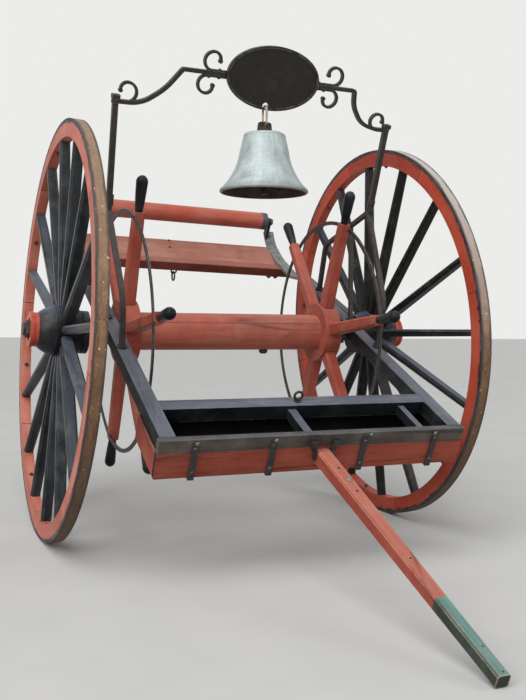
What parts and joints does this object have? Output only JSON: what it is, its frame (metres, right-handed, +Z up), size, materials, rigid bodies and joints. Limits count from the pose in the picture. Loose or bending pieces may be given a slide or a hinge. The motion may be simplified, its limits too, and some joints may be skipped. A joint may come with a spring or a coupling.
{
  "type": "hose cart",
  "caption": "Two-wheeled hand-drawn hose cart with a wooden reel on the axle, a shallow tool box, a draw pole and a bell hung from an iron arch.",
  "frame": {"origin": "on the ground below the middle of the whole cart as it parks on its pole tip", "axes": "-Y to the front, where the pole points; +X to the side the right wheel is on; +Z up"},
  "size_m": [1.48, 2.3196, 1.6348],
  "materials": {
    "red_paint": "old red paint on wood",
    "black_paint": "old black paint on wood",
    "dark_iron": "blackened wrought iron",
    "worn_iron": "rust worn iron",
    "bell_bronze": "aged bell bronze"
  },
  "bodies": {
    "frame": {"axle": "dark_iron", "axle_nuts": "dark_iron", "axle_clips": "dark_iron", "rail_left": "black_paint", "rail_right": "black_paint", "rail_strap_left": "dark_iron", "rail_strap_right": "dark_iron", "front_bar": "black_paint", "rear_crossbar": "black_paint", "inner_bars": "black_paint", "box_front": "red_paint", "box_sides": "red_paint", "box_rear": "red_paint", "box_floor": "red_paint", "box_irons": "dark_iron", "eye_bolt": "dark_iron", "pole": "red_paint", "pole_ears": "dark_iron", "rear_ledge": "red_paint", "rear_board": "red_paint", "roller_brackets": "dark_iron", "staple_ring": "dark_iron", "stay_left": "dark_iron", "stay_right": "dark_iron", "arch_arm": "dark_iron", "arch_nuts": "dark_iron", "plaque": "dark_iron", "bell_ring": "dark_iron"},
    "wheel_left": {"nave_left": "black_paint", "nave_bands_left": "dark_iron", "spokes_left": "black_paint", "felloes_left": "red_paint", "tyre_left": "worn_iron"},
    "wheel_right": {"nave_right": "black_paint", "nave_bands_right": "dark_iron", "spokes_right": "black_paint", "felloes_right": "red_paint", "tyre_right": "worn_iron"},
    "reel": {"reel_drum": "red_paint", "reel_disc_left": "red_paint", "reel_arms_left": "red_paint", "reel_handles_left": "black_paint", "reel_hoop_left": "dark_iron", "reel_disc_right": "red_paint", "reel_arms_right": "red_paint", "reel_handles_right": "black_paint", "reel_hoop_right": "dark_iron"},
    "roller": {"roller": "red_paint", "roller_ferrules": "dark_iron"},
    "bell": {"bell": "bell_bronze"},
    "clapper": {"clapper": "dark_iron"}
  },
  "joints": [
    {"name": "wheel_left_spin", "type": "hinge", "parent": "frame", "child": "wheel_left", "pos_m": [-0.63, 0.44901, 0.71], "axis": [-0.9986, 0, 0.0523], "continuous": true},
    {"name": "wheel_right_spin", "type": "hinge", "parent": "frame", "child": "wheel_right", "pos_m": [0.63, 0.44901, 0.71], "axis": [0.9986, 0, 0.0523], "continuous": true},
    {"name": "reel_spin", "type": "hinge", "parent": "frame", "child": "reel", "pos_m": [0, 0.44901, 0.71], "axis": [1, 0, 0], "continuous": true},
    {"name": "roller_spin", "type": "hinge", "parent": "frame", "child": "roller", "pos_m": [0, 1.09772, 1.21376], "axis": [0.9996, 0.0118, -0.0255], "continuous": true},
    {"name": "bell_swing", "type": "hinge", "parent": "frame", "child": "bell", "pos_m": [-0.013, 0.09039, 1.39399], "axis": [0, 1, 0], "range_deg": [-30, 30]},
    {"name": "clapper_swing", "type": "hinge", "parent": "bell", "child": "clapper", "pos_m": [-0.013, 0.09039, 1.32899], "axis": [0, 1, 0], "range_deg": [-24, 24]}
  ]
}
